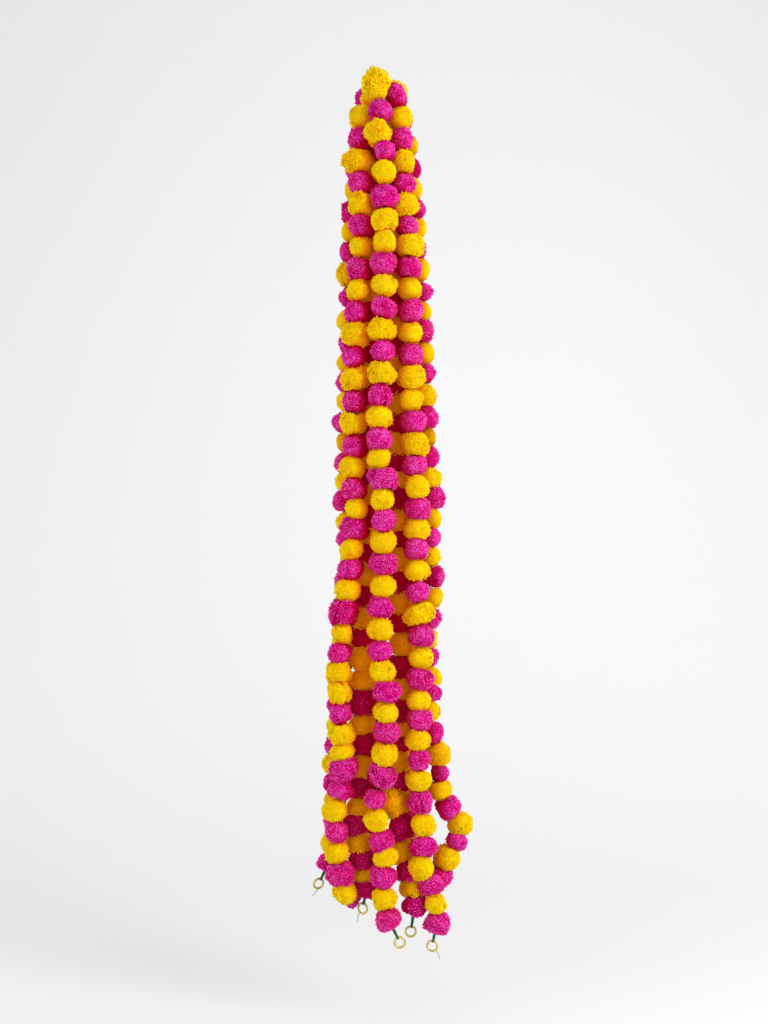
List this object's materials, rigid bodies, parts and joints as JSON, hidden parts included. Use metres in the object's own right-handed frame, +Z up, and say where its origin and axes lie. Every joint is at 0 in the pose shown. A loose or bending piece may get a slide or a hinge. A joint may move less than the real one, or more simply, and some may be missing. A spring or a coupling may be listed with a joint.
{
  "type": "marigold garland",
  "caption": "Hanging bundle of strings of artificial pompom marigolds in yellow and magenta, tied at the top to one ring, with a small ring on each taped end.",
  "frame": {"origin": "centre of the ring that the garland hangs by, at its top", "axes": "+Z up along the hanging strings; -Y towards the viewer, out of the front of the bundle; +X to the viewer's right"},
  "size_m": [0.2747, 0.1765, 1.5178],
  "materials": {
    "flowers": "matte",
    "tape": "satin",
    "ring": "polished",
    "thread": "matte"
  },
  "bodies": {
    "root": {"string_front": "flowers", "string_front_left": "flowers", "string_front_right": "flowers", "string_left": "flowers", "string_right": "flowers", "string_inner_left": "flowers", "string_inner_right": "flowers", "string_back_left": "flowers", "string_back_right": "flowers", "taped_end_front": "tape", "taped_end_front_left": "tape", "taped_end_front_right": "tape", "taped_end_left": "tape", "taped_end_right": "tape", "taped_end_inner_left": "tape", "taped_end_inner_right": "tape", "taped_end_back_left": "tape", "taped_end_back_right": "tape", "end_ring_front": "ring", "end_ring_front_left": "ring", "end_ring_front_right": "ring", "end_ring_left": "ring", "end_ring_right": "ring", "end_ring_inner_left": "ring", "end_ring_inner_right": "ring", "end_ring_back_left": "ring", "end_ring_back_right": "ring", "thread_tail_left": "thread", "thread_tail_inner_left": "thread", "thread_tail_front_right": "thread", "hang_ring": "ring", "top_tie": "tape"}
  },
  "joints": []
}
